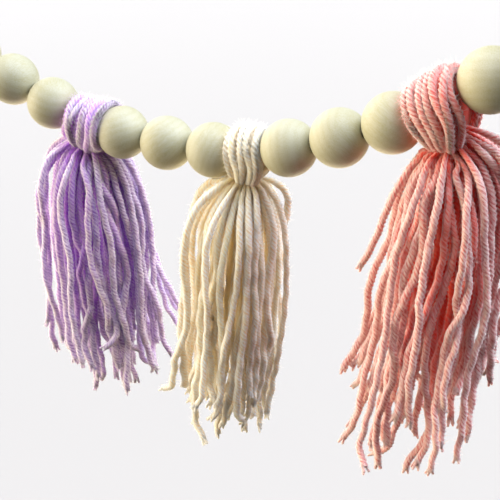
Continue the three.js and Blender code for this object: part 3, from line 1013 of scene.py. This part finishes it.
def head_strands(tassel, hang, tilt, neighbours):
    """The head's strands in layers, from the neck in front over the string to the neck behind."""
    strands = []
    seed = tassel.seed + 100
    for layer in range(HEAD_LAYERS):
        inset = HEAD_INSET + layer * LAYER_SPACING
        room = 2 * (tassel.half_width - inset)
        count = round(room / HEAD_STRAND_PITCH) + 1
        for i in range(count):
            key = 20 * layer + i
            across = 2 * (i + 0.3 * (chance(seed, key, 1) - 0.5)) / (count - 1) - 1
            slant = chance(seed, key, 2, -0.3, 0.3)
            own_inset = inset + chance(seed, key, 3, -0.55, 0.55)
            phase = 2 * math.pi * chance(seed, key, 4)
            points = []
            for k in range(HEAD_STEPS + 1):
                share = 2 * k / HEAD_STEPS - 1
                here = across + (slant * share + 0.06 * math.sin(6 * share + phase))
                angle = share * (math.pi - NECK_OPENING)
                place = head_place(tassel, tilt, neighbours, here, angle, own_inset)
                drawn = smoothstep(0.6, 1.0, abs(share))
                # Painted shade where the strand is drawn in at the neck or pressed by a bead
                hollow_shade = max(drawn, smoothstep(0.7, 1.0, abs(here)))
                depth = mix(HEAD_PALENESS, HEAD_HOLLOW_SHADE, hollow_shade) / (1 + LAYER_SHADE * layer)
                points.append((hang + place, mix(1.0, 0.75, drawn), depth))
            strands.append({"points": points, "tone": chance(seed, key, 5)})
    return strands


print(HEAD_LAYERS, "layers of strands in each head")

# %% [markdown]
# A smooth core of the yarn's material stands for the strands that lie deeper and are never seen. It
# carries no depth, so it shows the yarn's painted deep shade. It is a closed ring round the string, so
# that no light comes through between the head's strands.

# %% The head's core
CORE_ROWS = 48
CORE_COLUMNS = 16
CORE_INSET = 2.6
CORE_BORE_RADIUS = 1.3
CORE_BORE_INSET = 4.0


def head_core(tassel, hang, tilt, neighbours):
    """A closed smooth form just under the strands, with a bore for the string."""
    places = []
    half_bore = tassel.half_width - CORE_BORE_INSET
    for k in range(CORE_ROWS):
        angle = 2 * math.pi * k / CORE_ROWS - math.pi
        for j in range(CORE_COLUMNS):
            across = 2 * j / (CORE_COLUMNS - 1) - 1
            places.append(hang + head_place(tassel, tilt, neighbours, across, angle, CORE_INSET))
        up, out = CORE_BORE_RADIUS * math.cos(angle), CORE_BORE_RADIUS * math.sin(angle)
        for side in (half_bore, -half_bore):
            places.append(hang + Matrix.Rotation(-tilt, 3, "Y") @ Vector((side, out, up)))
    # The profile runs the other way than a bead's, so each face is turned round
    faces = [(a, d, c, b) for a, b, c, d in ring_faces(CORE_ROWS, CORE_COLUMNS + 2)]
    mesh = bpy.data.meshes.new("core")
    mesh.from_pydata([place * MM for place in places], [], faces)
    mesh.shade_smooth()
    return mesh


print("core of", CORE_ROWS, "rows and", CORE_COLUMNS, "columns")

# %% [markdown]
# ## Loose fibres
#
# Acrylic yarn is spun from short fibres, and some of their ends stand out as a fine fuzz. Hair could
# make it, but hair has no faces. So a second tree scatters needles over the finished strands, each
# at its own slant. They are a little thicker than real fibres, which would be too fine to show, and
# the heads, which are handled most, get more.

# %% The fuzz tree
MOST_SLANT = (1.1, 1.1, 3.1)
# Needles are coloured nearly as a crest, with its painted highlight
FUZZ_CREST_HIGHLIGHT = 0.8


def fuzz_tree():
    """Scatters fine needles over a mesh."""
    tree, add, given = new_tree(
        "loose_fibres", "Seed", "Fibres per Area", "Fibre Length", "Fibre Radius"
    )
    spots = add(
        "GeometryNodeDistributePointsOnFaces",
        {"Mesh": given["Geometry"], "Density": given["Fibres per Area"], "Seed": given["Seed"]},
    )
    needle = add(
        "GeometryNodeMeshCone",
        {"Vertices": 3, "Radius Bottom": given["Fibre Radius"], "Depth": given["Fibre Length"]},
    )
    slant = add(
        "FunctionNodeRandomValue",
        {0: [-most for most in MOST_SLANT], 1: MOST_SLANT, "Seed": given["Seed"]},
        data_type="FLOAT_VECTOR",
    )
    turned = add(
        "FunctionNodeRotateRotation", {0: spots.outputs["Rotation"], 1: slant}, rotation_space="LOCAL"
    )
    size = add("FunctionNodeRandomValue", {2: 0.4, 3: 1.3, "Seed": given["Seed"]}, data_type="FLOAT")
    spread = add(
        "GeometryNodeInstanceOnPoints",
        {"Points": spots, "Instance": needle, "Rotation": turned, "Scale": size.outputs[1]},
    )
    real = add("GeometryNodeRealizeInstances", {"Geometry": spread})
    # Nearly a crest's painted highlight on every needle
    pale = add(
        "GeometryNodeStoreNamedAttribute",
        {"Geometry": real, "Name": "crest", "Value": FUZZ_CREST_HIGHLIGHT},
    )
    painted = add("GeometryNodeSetMaterial", {"Geometry": pale, "Material": given["Yarn"]})
    add("NodeGroupOutput", {"Geometry": painted})
    return tree


loose_fibres = fuzz_tree()
print("tree", loose_fibres.name, "with", len(loose_fibres.nodes), "nodes")

# %% [markdown]
# ## Putting the tassels together
#
# Each tassel becomes six pieces of one yarn: the skirt and its frayed ends, the head's strands, the
# core under them, and the fuzz of skirt and head. Fuzz is counted in fibres for each square metre.

# %% Tassels
YARN_SETTINGS = {
    "Plies": 4, "Crest Radius": YARN_RADIUS * 1.04 * MM, "Groove Radius": 1.0 * MM,
    "Ring Spacing": 0.82 * MM, "Turn Length": 6.6 * MM,
}
FUZZ_SETTINGS = {"Fibre Length": 2.2 * MM, "Fibre Radius": 0.05 * MM}
SKIRT_FUZZ = 230000.0
HEAD_FUZZ = 900000.0


def make_tassel(index, tassel, hang, tilt):
    """All six pieces of the tassel at this station of the hanging line."""
    colour = tassel.name
    yarn = {"Yarn": yarns[colour]}
    neighbours = [stations[index - 1][1] - hang, stations[index + 1][1] - hang]
    strands = skirt_strands(tassel, hang, neighbours)
    part_strands(strands)
    ends = frayed_ends(tassel.seed, strands)
    folds = head_strands(tassel, hang, tilt, neighbours)
    pieces = [
        run_tree(f"{part}_{colour}", path_mesh(part, paths), twisted_strand, YARN_SETTINGS | yarn)
        for part, paths in (("skirt", strands), ("frayed_ends", ends), ("head", folds))
    ]
    skirt, _, head = pieces
    core = add_object(f"head_core_{colour}", head_core(tassel, hang, tilt, neighbours))
    # With no depth, the core shows the yarn's painted deep shade
    core.data.materials.append(yarn["Yarn"])
    pieces.append(core)
    for seed, (wearer, density) in enumerate(((skirt, SKIRT_FUZZ), (head, HEAD_FUZZ)), 3):
        pieces.append(run_tree(
            wearer.name.replace("_", "_fuzz_"), wearer.data.copy(), loose_fibres,
            FUZZ_SETTINGS | yarn | {"Fibres per Area": density, "Seed": seed},
        ))
    for piece in pieces:
        stand_for(piece, f"tassel_{colour}")


for index, (piece, hang, tilt) in enumerate(stations):
    if piece != "bead":
        make_tassel(index, piece, hang, tilt)

# %% [markdown]
# ## The floor
#
# The garland hangs well above a pale floor, in front of nothing. The floor is matt paint, with a
# painted soft shadow that greys it towards the garland. It throws no light and no shadow on the
# garland, so the lights alone shape the yarn.

# %% Floor
FLOOR_DROP = 0.5
FLOOR_SIZE = 14.0
SHADOW_GREYS_WITHIN = (0.6, 2.0)


def matt_paint_shadow_look(add):
    """Matt pale paint with a painted soft shadow, a little greyer near the garland."""
    place = add("ShaderNodeTexCoord")
    away = add("ShaderNodeVectorMath", {0: place.outputs["Object"]}, operation="LENGTH")
    # Painted soft shadow: greyer nearer the garland
    share = add(
        "ShaderNodeMapRange",
        {"Value": away.outputs["Value"], "From Min": SHADOW_GREYS_WITHIN[0], "From Max": SHADOW_GREYS_WITHIN[1]},
    )
    colour = add("ShaderNodeMix", {0: share, 6: linear("aaa7a4"), 7: linear("b4b1ae")}, data_type="RGBA")
    return {"Base Color": colour.outputs[2], "Roughness": 0.95, "Specular IOR Level": 0.0}


def make_floor():
    half = FLOOR_SIZE / 2
    mesh = bpy.data.meshes.new("floor")
    corners = [(-half, -half), (half, -half), (half, half), (-half, half)]
    mesh.from_pydata([(x, y, -FLOOR_DROP) for x, y in corners], [], [(0, 1, 2, 3)])
    mesh.materials.append(make_material("matt_paint_with_shadow", matt_paint_shadow_look))
    floor = add_object("floor", mesh)
    floor.visible_diffuse = False
    floor.visible_shadow = False
    floor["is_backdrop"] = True


make_floor()
print("floor", FLOOR_DROP, "m below the hook")

# %% [markdown]
# ## The light
#
# The photo's light is the soft light of a white room, so it is made from five very wide suns. Those
# from above, from the upper right and from the left make the beads' tops bright and leave their
# undersides dark. Those from behind shine into the yarn, which lets light through, and make its edges
# glow. The light has to go from strand to strand many times, so it is given eight bounces.

# %% Lights and world
SUN_SPREAD = 60.0
AMBIENT = 0.02
BOUNCES = 8
# Each sun's direction, as shares to the camera's side, to its right and up, then strength and colour
SUNS = {
    "overhead": ((0, 0, 1), 3.0, "f0f5ff"),
    "upper_right": ((0, 0.8, 0.8), 4.8, "f0f5ff"),
    "left": ((0, -1, 0.05), 4.7, "ffeecc"),
    "rear_left": ((-0.7, -0.7, 0.2), 2.8, "ffffff"),
    "below_rear": ((-0.7, 0, -0.7), 5.4, "ffecc4"),
}


def add_sun(name, direction, strength, colour):
    """A wide soft light without end."""
    data = bpy.data.lights.new(name, "SUN")
    data.angle = math.radians(SUN_SPREAD)
    data.energy = strength
    data.color = linear(colour)[:3]
    front, right, up = direction
    source = TO_CAMERA * front + TO_RIGHT * right + Vector((0, 0, up))
    light = add_object(name, data)
    light.matrix_world = source.to_track_quat("Z", "Y").to_matrix().to_4x4()


def make_world():
    """Dim light from all round; the camera itself sees white past the floor's edge."""
    world = bpy.data.worlds.new("studio")
    world.use_nodes = True
    tree = world.node_tree
    tree.nodes.clear()
    add = partial(add_node, tree)
    path = add("ShaderNodeLightPath")
    ambient = add("ShaderNodeBackground", {"Color": linear("ffffff"), "Strength": AMBIENT})
    white = add("ShaderNodeBackground", {"Color": linear("f8f8f8")})
    both = add("ShaderNodeMixShader", {0: path.outputs["Is Camera Ray"], 1: ambient, 2: white})
    add("ShaderNodeOutputWorld", {"Surface": both})
    bpy.context.scene.world = world


make_world()
for name, sun in SUNS.items():
    add_sun(name, *sun)
bpy.context.scene.view_settings.view_transform = "Standard"
bpy.context.scene.cycles.diffuse_bounces = BOUNCES
print("lit by", len(SUNS), "suns")

# %% [markdown]
# ## The garland's size
#
# The dressed garland has to fill the same box as the plain solids, give or take the fuzz; its bounds
# are found here.

# %% The dressed garland's bounds
low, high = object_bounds()
